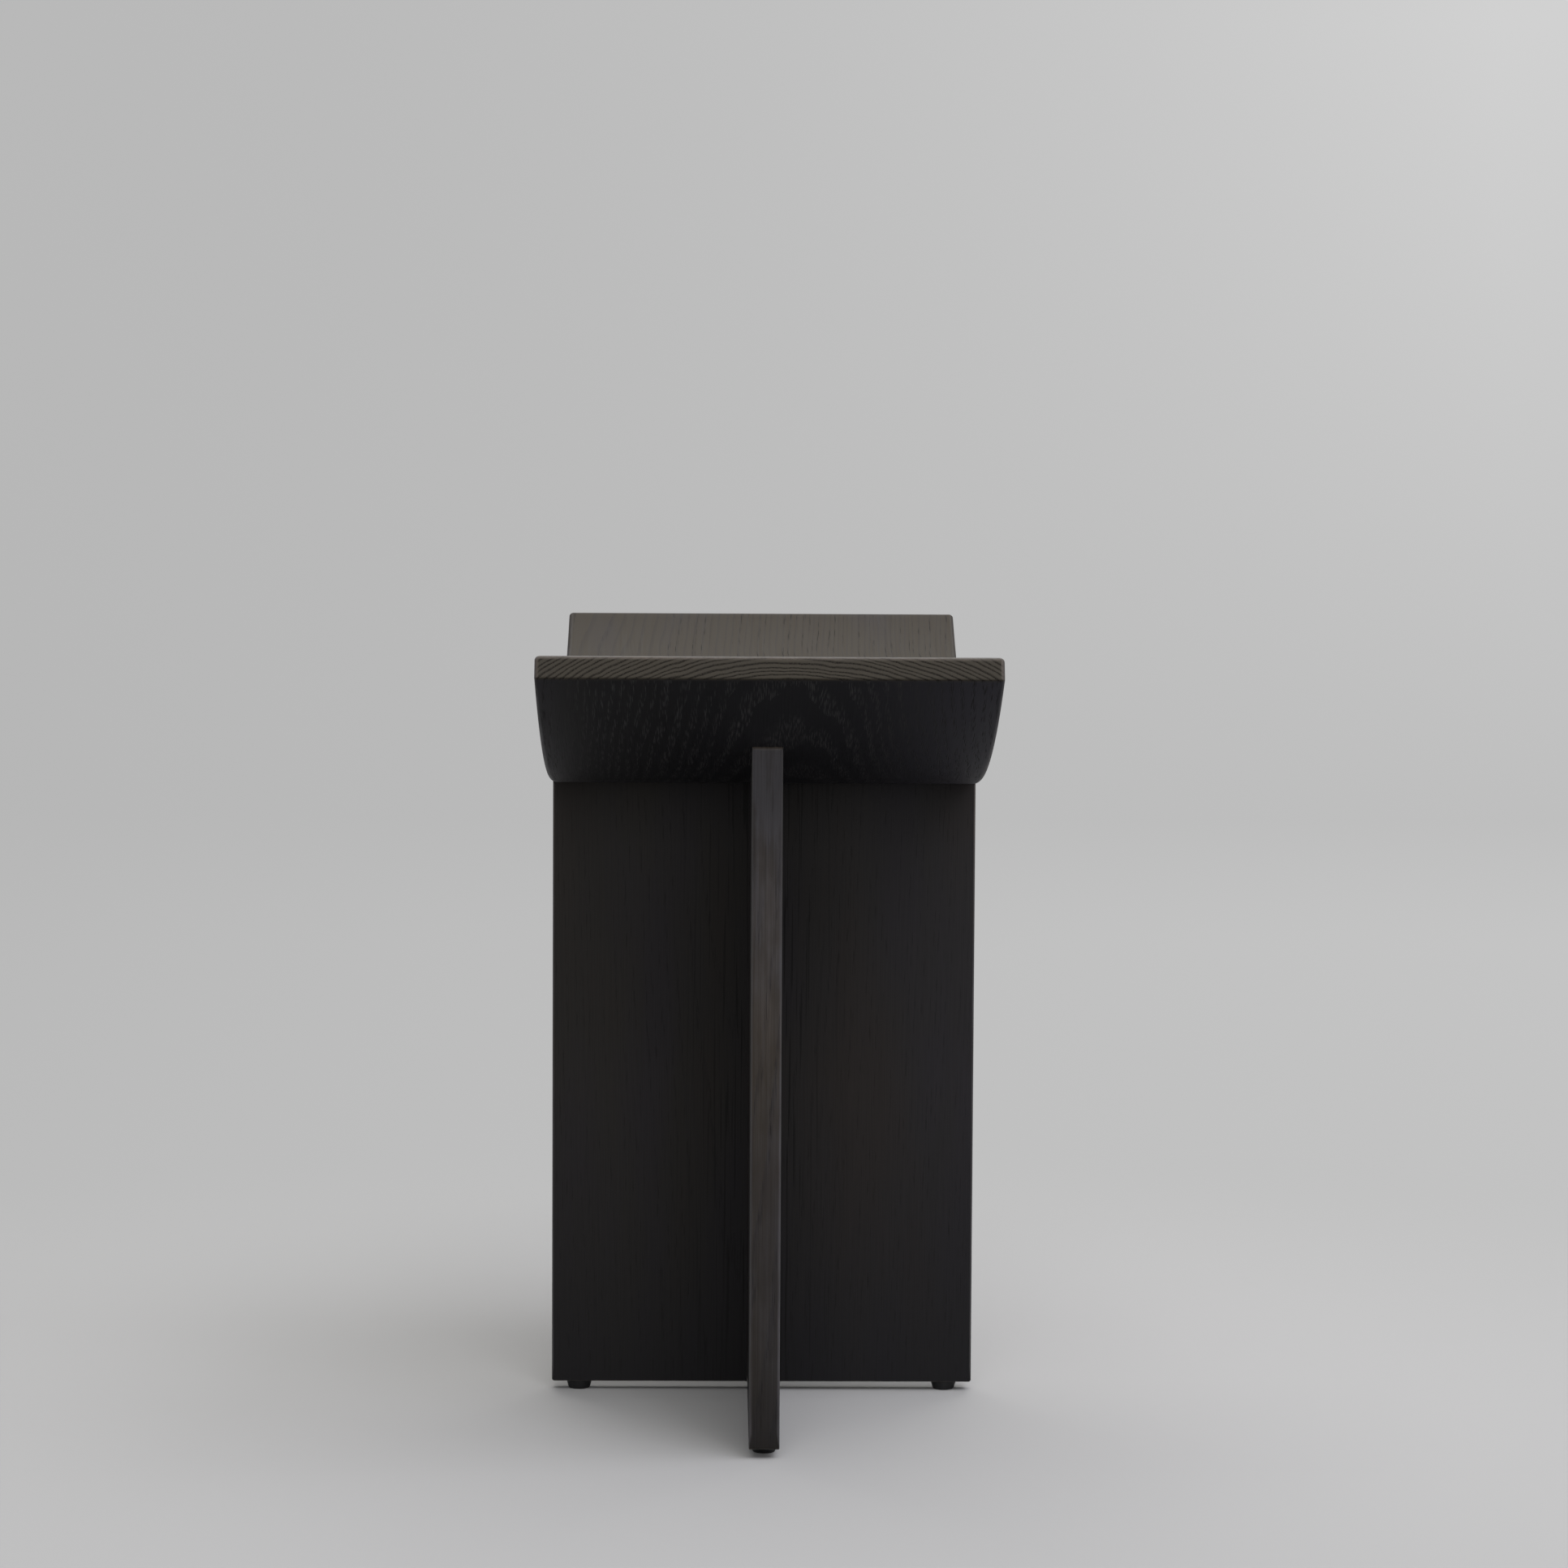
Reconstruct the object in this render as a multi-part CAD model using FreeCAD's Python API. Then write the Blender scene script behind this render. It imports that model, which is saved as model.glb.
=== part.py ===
import FreeCAD, Part
import math
import os

# A stool with a saddle seat on a cross of two upright panels.
# Millimetres. X runs across the seat, Y along it and Z up. The origin is on the floor, under the middle.

# Seat: one board of even thickness, curved along its length
SEAT_LENGTH = 600.0
SEAT_WIDTH = 248.8
SEAT_THICKNESS = 14.5
SEAT_HEIGHT = 450.0
SEAT_UNDERSIDE_RADIUS = 635.0
SEAT_END_ROUND = 3.0
SEAT_SIDE_ROUND = 2.5
SEAT_LOWER_ARRIS = 1.0

# Panels: the cross panel is as wide as the seat, the long panel stops short of its ends
PANEL_THICKNESS = 17.0
LONG_PANEL_LENGTH = 405.0
PANEL_ARRIS = 1.2
LAP_CLEARANCE = 0.1
GLUE_LINE = 0.1

# Dowels between the panels' top edges and the seat
DOWEL_DIAMETER = 8.0
DOWEL_LENGTH = 32.0
DOWEL_CHAMFER = 1.0
DOWEL_CLEARANCE = 0.05
DOWEL_END_GAP = 1.0
DOWEL_FROM_END = 30.0
DOWEL_FROM_LAP = 30.0
SEAT_OVER_DOWEL = 5.0
CROSS_DOWELS_PER_SIDE = 2
LONG_DOWELS_PER_SIDE = 2

# Feet: tapered glides, each held by one screw
FOOT_HEIGHT = 5.5
FOOT_TOP_DIAMETER = 15.5
FOOT_FLOOR_DIAMETER = 12.4
FOOT_FLOOR_CHAMFER = 0.5
FOOT_FROM_CROSS_END = 16.0
FOOT_FROM_LONG_END = 22.0
FOOT_WEB = 2.4

# Foot screws: pan heads, sunk in the feet
SCREW_DIAMETER = 3.5
SCREW_IN_WOOD = 16.0
SCREW_TIP = 3.0
SCREW_HEAD_DIAMETER = 6.6
SCREW_HEAD_HEIGHT = 2.1
SCREW_HEAD_CROWN = 0.9
SCREW_CLEARANCE = 0.1
SCREW_END_GAP = 1.0
HEAD_CLEARANCE = 0.25

X_AXIS = FreeCAD.Vector(1, 0, 0)
Z_AXIS = FreeCAD.Vector(0, 0, 1)

# The seat's curve, as circles about one axis that runs across the stool above the seat
seat_top_radius = SEAT_UNDERSIDE_RADIUS - SEAT_THICKNESS
half_angle = math.asin(SEAT_LENGTH / 2 / SEAT_UNDERSIDE_RADIUS)
end_round_radius = seat_top_radius + SEAT_END_ROUND
end_round_step = math.asin(SEAT_END_ROUND / end_round_radius)
end_round_angle = half_angle - end_round_step
curve_centre_height = SEAT_HEIGHT - SEAT_END_ROUND + end_round_radius * math.cos(end_round_angle)
seat_low_point = curve_centre_height - SEAT_UNDERSIDE_RADIUS
lap_height = (FOOT_HEIGHT + seat_low_point) / 2

dowel_radius = DOWEL_DIAMETER / 2
dowel_in_seat = SEAT_THICKNESS - SEAT_OVER_DOWEL - DOWEL_END_GAP
dowel_in_panel = DOWEL_LENGTH - dowel_in_seat
head_seat_height = FOOT_HEIGHT - FOOT_WEB


def curve_point(radius, angle):
    """Point at a radius from the seat's curve axis, at an angle from straight down."""
    along = radius * math.sin(angle)
    height = curve_centre_height - radius * math.cos(angle)
    return FreeCAD.Vector(0, along, height)


def underside_height(along):
    """Height of the seat's underside at a distance along the stool."""
    return curve_centre_height - math.sqrt(SEAT_UNDERSIDE_RADIUS ** 2 - along ** 2)


def arc_edge(start, middle, end):
    return Part.Arc(start, middle, end).toShape()


def line_edge(start, end):
    return Part.LineSegment(start, end).toShape()


def upright_cylinder(radius, centre_x, centre_y, bottom, top):
    base = FreeCAD.Vector(centre_x, centre_y, bottom)
    return Part.makeCylinder(radius, top - bottom, base, Z_AXIS)


def centred_box(size_x, size_y, bottom, top):
    corner = FreeCAD.Vector(-size_x / 2, -size_y / 2, bottom)
    return Part.makeBox(size_x, size_y, top - bottom, corner)


def turned(profile, centre_x, centre_y):
    """Solid of revolution about an upright axis, from (radius, height) corners."""
    corners = [FreeCAD.Vector(radius, 0, height) for radius, height in profile]
    face = Part.Face(Part.makePolygon(corners + corners[:1]))
    solid = face.revolve(FreeCAD.Vector(0, 0, 0), Z_AXIS, 360)
    solid.translate(FreeCAD.Vector(centre_x, centre_y, 0))
    return solid


def mirrored_steps(first, last, count):
    """Evenly spaced places from first to last, and their mirror images."""
    step = (last - first) / (count - 1) if count > 1 else 0
    places = [first + step * index for index in range(count)]
    return [-place for place in reversed(places)] + places


# Dowels stand clear of the lap at the middle and of the panels' ends
nearest_dowel = PANEL_THICKNESS / 2 + DOWEL_FROM_LAP
cross_dowel_xs = mirrored_steps(nearest_dowel, SEAT_WIDTH / 2 - DOWEL_FROM_END, CROSS_DOWELS_PER_SIDE)
long_dowel_ys = mirrored_steps(nearest_dowel, LONG_PANEL_LENGTH / 2 - DOWEL_FROM_END, LONG_DOWELS_PER_SIDE)
cross_dowel_places = [(x, 0) for x in cross_dowel_xs]
long_dowel_places = [(0, y) for y in long_dowel_ys]

# Feet stand under the four ends of the cross
cross_foot_x = SEAT_WIDTH / 2 - FOOT_FROM_CROSS_END
long_foot_y = LONG_PANEL_LENGTH / 2 - FOOT_FROM_LONG_END
cross_foot_places = {"foot_left": (-cross_foot_x, 0), "foot_right": (cross_foot_x, 0)}
long_foot_places = {"foot_front": (0, -long_foot_y), "foot_rear": (0, long_foot_y)}


def dowel_socket(x, y, bottom, top):
    return upright_cylinder(dowel_radius + DOWEL_CLEARANCE, x, y, bottom, top)


def end_round(side):
    """Round at one end of the seat: where it leaves the top, its crown and where it meets the end face."""
    centre = curve_point(end_round_radius, side * end_round_angle)
    corner = curve_point(seat_top_radius, side * half_angle)
    towards_corner = (corner - centre).normalize()
    on_top = curve_point(seat_top_radius, side * end_round_angle)
    crown = centre + towards_corner * SEAT_END_ROUND
    on_end = curve_point(end_round_radius * math.cos(end_round_step), side * half_angle)
    return on_top, crown, on_end


def underside(board):
    """The board's lower face, which is the one of largest radius."""
    return max(board.Faces, key=lambda face: getattr(face.Surface, "Radius", 0))


def make_seat():
    front_low = curve_point(SEAT_UNDERSIDE_RADIUS, -half_angle)
    middle_low = curve_point(SEAT_UNDERSIDE_RADIUS, 0)
    rear_low = curve_point(SEAT_UNDERSIDE_RADIUS, half_angle)
    middle_top = curve_point(seat_top_radius, 0)
    front_top, front_crown, front_end = end_round(-1)
    rear_top, rear_crown, rear_end = end_round(1)
    outline = Part.Wire([
        arc_edge(front_low, middle_low, rear_low),
        line_edge(rear_low, rear_end),
        arc_edge(rear_end, rear_crown, rear_top),
        arc_edge(rear_top, middle_top, front_top),
        arc_edge(front_top, front_crown, front_end),
        line_edge(front_end, front_low),
    ])
    outline.translate(X_AXIS * (-SEAT_WIDTH / 2))
    board = Part.Face(outline).extrude(X_AXIS * SEAT_WIDTH)
    side_edges = [edge for edge in board.Edges if edge.BoundBox.XLength < SEAT_WIDTH / 2]
    lower_edges = underside(board).Edges
    upper_edges = [edge for edge in side_edges if not any(edge.isSame(lower) for lower in lower_edges)]
    board = board.makeFillet(SEAT_SIDE_ROUND, upper_edges)
    board = board.makeFillet(SEAT_LOWER_ARRIS, underside(board).Edges)
    for x, y in cross_dowel_places + long_dowel_places:
        socket_top = underside_height(y) + dowel_in_seat + DOWEL_END_GAP
        board = board.cut(dowel_socket(x, y, seat_low_point - DOWEL_END_GAP, socket_top))
    return board


def make_panel(size_x, size_y, dowel_places, foot_places):
    """Upright panel from the feet to the seat, its top edge scribed to the seat's underside."""
    scribe_radius = SEAT_UNDERSIDE_RADIUS + GLUE_LINE
    axis_start = FreeCAD.Vector(-SEAT_WIDTH, 0, curve_centre_height)
    seat_curve = Part.makeCylinder(scribe_radius, SEAT_WIDTH * 2, axis_start, X_AXIS)
    panel = centred_box(size_x, size_y, FOOT_HEIGHT, SEAT_HEIGHT).cut(seat_curve)
    panel = panel.makeFillet(PANEL_ARRIS, panel.Edges)
    for x, y in dowel_places:
        socket_bottom = underside_height(y) - dowel_in_panel - DOWEL_END_GAP
        panel = panel.cut(dowel_socket(x, y, socket_bottom, SEAT_HEIGHT))
    pilot_radius = SCREW_DIAMETER / 2 + SCREW_CLEARANCE
    pilot_top = FOOT_HEIGHT + SCREW_IN_WOOD + SCREW_END_GAP
    for x, y in foot_places.values():
        panel = panel.cut(upright_cylinder(pilot_radius, x, y, 0, pilot_top))
    return panel


def make_cross_panel():
    """Panel across the stool, notched from below to half its height."""
    panel = make_panel(SEAT_WIDTH, PANEL_THICKNESS, cross_dowel_places, cross_foot_places)
    notch_width = PANEL_THICKNESS + 2 * LAP_CLEARANCE
    return panel.cut(centred_box(notch_width, PANEL_THICKNESS * 2, 0, lap_height))


def make_long_panel():
    """Panel along the stool, notched from above to half its height."""
    panel = make_panel(PANEL_THICKNESS, LONG_PANEL_LENGTH, long_dowel_places, long_foot_places)
    notch_width = PANEL_THICKNESS + 2 * LAP_CLEARANCE
    return panel.cut(centred_box(PANEL_THICKNESS * 2, notch_width, lap_height, SEAT_HEIGHT))


def make_dowel(x, y):
    """Round dowel with chamfered ends, part in a panel and part in the seat."""
    top = underside_height(y) + dowel_in_seat
    bottom = top - DOWEL_LENGTH
    dowel = upright_cylinder(dowel_radius, x, y, bottom, top)
    rims = [edge for edge in dowel.Edges if edge.BoundBox.ZLength < DOWEL_CHAMFER]
    return dowel.makeChamfer(DOWEL_CHAMFER, rims)


def make_foot(x, y):
    """Tapered glide, bored for its screw and counterbored so that the head sits clear of the floor."""
    hole_radius = SCREW_DIAMETER / 2 + SCREW_CLEARANCE
    recess_radius = SCREW_HEAD_DIAMETER / 2 + HEAD_CLEARANCE
    taper = (FOOT_TOP_DIAMETER - FOOT_FLOOR_DIAMETER) / 2 / FOOT_HEIGHT
    floor_radius = FOOT_FLOOR_DIAMETER / 2
    return turned([
        (hole_radius, head_seat_height),
        (recess_radius, head_seat_height),
        (recess_radius, 0),
        (floor_radius - FOOT_FLOOR_CHAMFER, 0),
        (floor_radius + taper * FOOT_FLOOR_CHAMFER, FOOT_FLOOR_CHAMFER),
        (FOOT_TOP_DIAMETER / 2, FOOT_HEIGHT),
        (hole_radius, FOOT_HEIGHT),
    ], x, y)


def make_screw(x, y):
    """Pan-head screw, from its head in the foot to its point in the panel."""
    shank_radius = SCREW_DIAMETER / 2
    head_radius = SCREW_HEAD_DIAMETER / 2
    point = FOOT_HEIGHT + SCREW_IN_WOOD
    head_bottom = head_seat_height - SCREW_HEAD_HEIGHT
    head_shoulder = head_bottom + SCREW_HEAD_CROWN
    return turned([
        (0, head_bottom),
        (head_radius - SCREW_HEAD_CROWN, head_bottom),
        (head_radius, head_shoulder),
        (head_radius, head_seat_height),
        (shank_radius, head_seat_height),
        (shank_radius, point - SCREW_TIP),
        (0, point),
    ], x, y)


def group(make_one, places):
    return Part.makeCompound([make_one(x, y) for x, y in places])


foot_places = {**cross_foot_places, **long_foot_places}
nodes = {
    "seat": make_seat(),
    "cross_panel": make_cross_panel(),
    "long_panel": make_long_panel(),
    "cross_panel_dowels": group(make_dowel, cross_dowel_places),
    "long_panel_dowels": group(make_dowel, long_dowel_places),
    "foot_screws": group(make_screw, foot_places.values()),
}
for name, (x, y) in foot_places.items():
    nodes[name] = make_foot(x, y)

os.makedirs("parts", exist_ok=True)
for name, shape in nodes.items():
    shape.exportStep("parts/" + name + ".step")
    box = shape.optimalBoundingBox(True, False)
    extent = "%.1f x %.1f x %.1f" % (box.XLength, box.YLength, box.ZLength)
    print(name, len(shape.Solids), "solids", extent, "valid" if shape.isValid() else "broken")
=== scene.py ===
# %% [markdown]
# # A saddle stool in dark stained oak
#
# A bent board seat stands on a cross of two upright panels, with four small glides under their ends.
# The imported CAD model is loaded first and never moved: it gives every place and every outer size.
# The boards, glides and screws that show are then remade as smooth surfaces in the same frame, because
# the CAD facets have no soft arrises and carry no grain direction for the wood to follow.

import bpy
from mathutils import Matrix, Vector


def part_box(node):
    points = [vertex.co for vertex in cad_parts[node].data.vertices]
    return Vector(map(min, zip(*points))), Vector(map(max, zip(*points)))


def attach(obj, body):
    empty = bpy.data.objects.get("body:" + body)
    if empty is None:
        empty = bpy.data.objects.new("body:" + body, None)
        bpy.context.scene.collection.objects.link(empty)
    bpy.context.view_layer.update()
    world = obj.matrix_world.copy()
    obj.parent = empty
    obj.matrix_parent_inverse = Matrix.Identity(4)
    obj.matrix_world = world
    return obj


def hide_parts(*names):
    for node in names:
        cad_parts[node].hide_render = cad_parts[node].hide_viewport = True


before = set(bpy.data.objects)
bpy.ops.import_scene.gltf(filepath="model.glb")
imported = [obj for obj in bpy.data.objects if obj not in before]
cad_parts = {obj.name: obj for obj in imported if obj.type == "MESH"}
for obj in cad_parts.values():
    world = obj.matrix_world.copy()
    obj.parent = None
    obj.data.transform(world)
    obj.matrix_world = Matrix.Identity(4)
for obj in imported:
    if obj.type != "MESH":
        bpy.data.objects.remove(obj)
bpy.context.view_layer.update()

# %% Tools and units
import math

import bmesh
import bpy
import numpy as np
from mathutils import Matrix, Vector

MM = 0.001

# %% [markdown]
# ## One mesh maker for every piece
#
# Every piece here is a stack of rings: a seat section carried along the bend, a panel outline carried
# through the panel's thickness, or a turned profile carried round an axis. One function can skin such a
# stack, so it takes an array of rings and closes its ends. Numbers that belong to the surface, such as
# the place in the flat board, travel with the points as attributes.

# %% Skin a stack of rings
def ring_faces(rows, columns, joined):
    """Four-sided faces of a grid whose columns close on themselves: each joins a ring to the next.

    The point in a row and column has the number row times columns plus column.
    """
    row, column = np.meshgrid(np.arange(rows if joined else rows - 1), np.arange(columns), indexing="ij")
    below, after = (row + 1) % rows, (column + 1) % columns
    corners = [(row, column), (row, after), (below, after), (below, column)]
    return np.stack([r * columns + c for r, c in corners], axis=-1).reshape(-1, 4)


def skin(name, shells, joined=False, **attributes):
    """Closed mesh from an array of ring stacks (shell, ring, point, xyz).

    The first and last ring are capped, or joined to each other where the rings run round a closed profile.
    Each attribute is an array (ring, point) or (ring, point, 3), stored on the points of one shell.
    """
    count, rows, columns, _ = shells.shape
    first = np.arange(count)[:, None, None] * rows * columns
    faces = (first + ring_faces(rows, columns, joined)).reshape(-1, 4).tolist()
    if not joined:
        ring = np.arange(columns)
        caps = np.stack([ring[::-1], (rows - 1) * columns + ring])
        faces += (first + caps).reshape(-1, columns).tolist()
    mesh = bpy.data.meshes.new(name)
    mesh.from_pydata(shells.reshape(-1, 3).tolist(), [], faces)
    for label, values in attributes.items():
        kind, field = ("FLOAT_VECTOR", "vector") if values.ndim == 3 else ("FLOAT", "value")
        mesh.attributes.new(label, kind, "POINT").data.foreach_set(field, values.astype(np.float32).ravel())
    mesh.shade_smooth()
    return face_outwards(mesh, name)


def face_outwards(mesh, name):
    """Turns a closed mesh right side out by the sign of its volume, and adds it to the scene."""
    shape = bmesh.new()
    shape.from_mesh(mesh)
    volume = shape.calc_volume(signed=True)
    shape.free()
    if volume < 0:
        mesh.flip_normals()
    piece = bpy.data.objects.new(name, mesh)
    bpy.context.scene.collection.objects.link(piece)
    print(name, len(mesh.polygons), "faces,", round(abs(volume) * 1e6, 2), "cubic centimetres")
    return piece


def place(piece, node):
    """Sets a piece on the stool's one rigid body, in the place of its CAD node."""
    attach(piece, "root")
    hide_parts(node)
    return piece


# %% Round the corners of an outline
def rounded(corners, radii, steps):
    """Closed outlines (..., corner, 2) with each corner replaced by a circular arc of its own radius.

    The arc is a rational curve: the tangent points and the corner are blended with weights
    (1-t)^2, 2wt(1-t) and t^2, where w is the cosine of half the turn.
    """
    back = np.roll(corners, 1, axis=-2) - corners
    ahead = np.roll(corners, -1, axis=-2) - corners
    back /= np.linalg.norm(back, axis=-1, keepdims=True)
    ahead /= np.linalg.norm(ahead, axis=-1, keepdims=True)
    half_turn = np.arccos(np.clip(-np.sum(back * ahead, axis=-1, keepdims=True), -1, 1)) / 2
    reach = np.asarray(radii)[..., None] * np.tan(half_turn)
    t = np.linspace(0, 1, steps)[:, None]
    weights = (1 - t) ** 2, 2 * t * (1 - t) * np.cos(half_turn)[..., None, :], t ** 2
    ends = corners + back * reach, corners, corners + ahead * reach
    curve = sum(weight * end[..., None, :] for weight, end in zip(weights, ends)) / sum(weights)
    return curve.reshape(*corners.shape[:-2], -1, 2)


# %% [markdown]
# ## The seat
#
# The seat is one oak board, bent along its length so that both ends rise. It could be a box with a bend
# modifier, but a rounded section carried along an arc gives exact radii and lets the end grain and the
# arrises be drawn true. The same two parameters also say where each point lay in the flat board, and
# that is what the grain will follow.

# %% Seat sizes
SEAT_LENGTH = 600 * MM
SEAT_THICKNESS = 14.5 * MM
SEAT_RADIUS = 635 * MM
SEAT_TOP_ARRIS = 2.8 * MM
LOW_ARRIS_AT_END = 1.5 * MM
LOW_ARRIS_AT_MIDDLE = 4.2 * MM
LEAST_ARRIS = 0.3 * MM
END_TOP_ROUND = 3.6 * MM
END_SIDE_ROUND = 2.4 * MM
END_LOW_ROUND = 1.2 * MM

seat_low, seat_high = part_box("seat")
bend_centre = seat_low.z + SEAT_RADIUS
bend_half_angle = math.asin(SEAT_LENGTH / 2 / SEAT_RADIUS)
middle_radius = SEAT_RADIUS - SEAT_THICKNESS / 2
board_run = middle_radius * 2 * bend_half_angle
print("seat bends through", round(2 * math.degrees(bend_half_angle), 2), "degrees")


# %% Stations along the seat
def drawn_in(distance, radius):
    """How far a quarter-round of this radius draws a face in, at a distance from the end."""
    left = radius - np.minimum(distance, radius)
    return radius - np.sqrt(radius ** 2 - left ** 2)


END_STEPS = 13
ALONG_STEPS = 140
end_turn = np.linspace(0, math.pi / 2, END_STEPS)
from_end = END_TOP_ROUND * (1 - np.cos(end_turn))
plain_run = np.linspace(END_TOP_ROUND, board_run - END_TOP_ROUND, ALONG_STEPS)[1:-1]
stations = np.concatenate([from_end, plain_run, board_run - from_end[::-1]])
to_end = np.minimum(stations, board_run - stations)
print(len(stations), "stations along", round(board_run / MM, 1), "mm of board")


# %% Sections of the seat
ARRIS_STEPS = 9
UNDER_STEPS = 15
CAP_SHARE_ACROSS_UP = np.array([0.99, 0.75])


def seat_sections(to_end):
    """Rounded rectangles (across, height over the underside), drawn in towards the ends by quarter-rounds.

    The lower arrises grow rounder towards the middle of the board, and the underside has points across it.
    A smaller ring in the plane of each end face is added, so that the face shades flat.
    """
    lost = drawn_in(to_end, END_SIDE_ROUND)
    half = seat_high.x - lost
    low = drawn_in(to_end, END_LOW_ROUND)
    top = SEAT_THICKNESS - drawn_in(to_end, END_TOP_ROUND)
    corners = np.array([(-half, low), (half, low), (half, top), (-half, top)]).transpose(2, 0, 1)
    low_arris = np.interp(to_end, [0, board_run / 2], [LOW_ARRIS_AT_END, LOW_ARRIS_AT_MIDDLE])
    top_arris = np.full_like(low_arris, SEAT_TOP_ARRIS)
    arris = np.stack([low_arris, low_arris, top_arris, top_arris], axis=1)
    sections = rounded(corners, np.maximum(arris - lost[:, None], LEAST_ARRIS), ARRIS_STEPS)
    left, right = sections[:, ARRIS_STEPS - 1, None], sections[:, ARRIS_STEPS, None]
    under = left + (right - left) * np.linspace(0, 1, UNDER_STEPS + 2)[1:-1, None]
    sections = np.concatenate([sections[:, :ARRIS_STEPS], under, sections[:, ARRIS_STEPS:]], axis=1)
    middle = np.array([0, SEAT_THICKNESS / 2])
    cap = middle + (sections[:1] - middle) * CAP_SHARE_ACROSS_UP
    return np.concatenate([cap, sections, cap])


# %% Seat surface: the section carried along the arc
sections = seat_sections(to_end)
across, height = sections[..., 0], sections[..., 1]
along = np.concatenate([stations[:1], stations, stations[-1:]])[:, None] - board_run / 2
angle = along / middle_radius
reach = SEAT_RADIUS - height
seat_points = np.stack([across, reach * np.sin(angle), bend_centre - reach * np.cos(angle)], axis=-1)
print("seat has", seat_points.shape[0], "rings of", seat_points.shape[1], "points")

# %% What the seat's points carry for the wood
SEAT_PITH_ACROSS = 18 * MM
SEAT_PITH_BELOW = 165 * MM
GRAIN_SWEEP = -160 * MM
GRAIN_SWEEP_FROM_TO = np.array([-90, 260]) * MM
# The ends' wear on their top rounds also paints part of their highlight.
END_WEAR_AND_HIGHLIGHT = 1.6
# The lower arrises' wear is set high, so that it also paints the highlight along them.
LOW_WEAR_AND_HIGHLIGHT = 1.7
TOP_WEAR = 0.6
PAINTED_SHADE_ACROSS = np.array([-122, -95, 45, 108]) * MM

# The pith drifts across the board by a smooth step. Wear is most halfway round an arris, and on the lower
# arrises and the ends' top rounds the paler wear also paints a highlight. What faces down is marked for a
# darker, cooler copy of the colour, which is painted shade. A deeper painted shade lies across the middle of
# the underside, with pale pores there that paint glints, and fades towards its sides, where the lighter wood
# paints a sheen.
sweep = np.interp(along, GRAIN_SWEEP_FROM_TO, [0, 1])
pith_across = SEAT_PITH_ACROSS + GRAIN_SWEEP * sweep ** 2 * (3 - 2 * sweep)
flat_board = np.stack([across - pith_across, height + SEAT_PITH_BELOW, along + 0 * across], axis=-1)
round_at_end = np.interp(to_end, from_end, np.sin(2 * end_turn))
facing_end = np.interp(to_end, from_end, np.cos(end_turn) ** 2)
seat_end_grain = np.concatenate([[1], facing_end, [1]])[:, None] + 0 * across
one_round = np.sin(np.linspace(0, math.pi, ARRIS_STEPS))
# On the lower arrises the paler wear also paints a highlight.
low_wear_and_highlight, top_round = LOW_WEAR_AND_HIGHLIGHT * one_round, TOP_WEAR * one_round
side_wear_and_highlight = np.concatenate([low_wear_and_highlight, np.zeros(UNDER_STEPS), low_wear_and_highlight, top_round, top_round])
one_turn = np.linspace(0, 1, ARRIS_STEPS)
downward = np.concatenate([one_turn, np.ones(UNDER_STEPS), one_turn[::-1], np.zeros(2 * ARRIS_STEPS)])
# On the ends' top rounds the paler wear also paints part of the highlight.
end_wear_and_highlight = END_WEAR_AND_HIGHLIGHT * np.concatenate([[0], round_at_end, [0]])[:, None] * (1 - downward)
seat_arris = np.maximum(side_wear_and_highlight * (1 - seat_end_grain), end_wear_and_highlight)
seat_dust = downward * (1 - seat_end_grain)
# Painted shade on the underside: deepest across its middle, fading towards its sides, where the lighter wood
# paints a sheen.
seat_stain = seat_dust * np.interp(across, PAINTED_SHADE_ACROSS, [0, 1, 1, 0])
seat = skin("seat_board", seat_points[None], grain=flat_board, arris=seat_arris, end_grain=seat_end_grain,
            dust=seat_dust, figure=1 + 0 * across, stain=seat_stain)
place(seat, "seat")

# %% [markdown]
# ## The two panels
#
# The panels are flat boards with upright grain. Each is notched to half its height, so that they slide
# together and lock, and their top edges are scribed to the seat. A panel is an outline carried through
# its thickness. The outline draws in near both faces by a quarter-round, which is the arris that a
# sander leaves, and the notch keeps crisp edges because it fits the other panel.

# %% Panel sizes
CROSS_ARRIS = 1.1 * MM
LONG_ARRIS = 1.9 * MM
CRISP_ARRIS = 0.12 * MM
CRISP_MARGIN = 2 * MM
CRISP_REACH = 1 * MM
PANEL_ARRIS_STEPS = 6
OUTLINE_CORNER = 1.4 * MM
OUTLINE_CORNER_STEPS = 5
SAME_POINT = 1e-6 * MM
FOOT_ARRIS = 0.5 * MM
FOOT_BLEND = 9 * MM
FACE_MARGIN = 0.2 * MM
# The wear on the panels' upright edges rises towards the top, where it also paints light on the edges.
EDGE_RUB_AND_LIGHT_HEIGHTS = np.array([0, 70, 220, 375]) * MM
EDGE_RUB_AND_LIGHT = (0.05, 0.33, 0.55, 1.9)
PANEL_FIGURE = 0.4
# The panels' grain is read a metre further along the log than the seat's, so that it differs.
PLANK_STEP = 1.0
GLUE_LINE = 0.1 * MM
LAP_CLEARANCE = 0.1 * MM

cross_low, cross_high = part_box("cross_panel")
_, long_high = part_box("long_panel")
panel_bottom = cross_low.z
panel_thickness = cross_high.y - cross_low.y
notch_half = panel_thickness / 2 + LAP_CLEARANCE
lap_height = (panel_bottom + seat_low.z) / 2
print("panels lap at", round(lap_height / MM, 1), "mm")


# %% Outline of a panel
def scribed_top(along):
    """Height of a panel's top edge: the seat's underside circle, less the glue line."""
    return bend_centre - np.sqrt((SEAT_RADIUS + GLUE_LINE) ** 2 - along ** 2)


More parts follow.
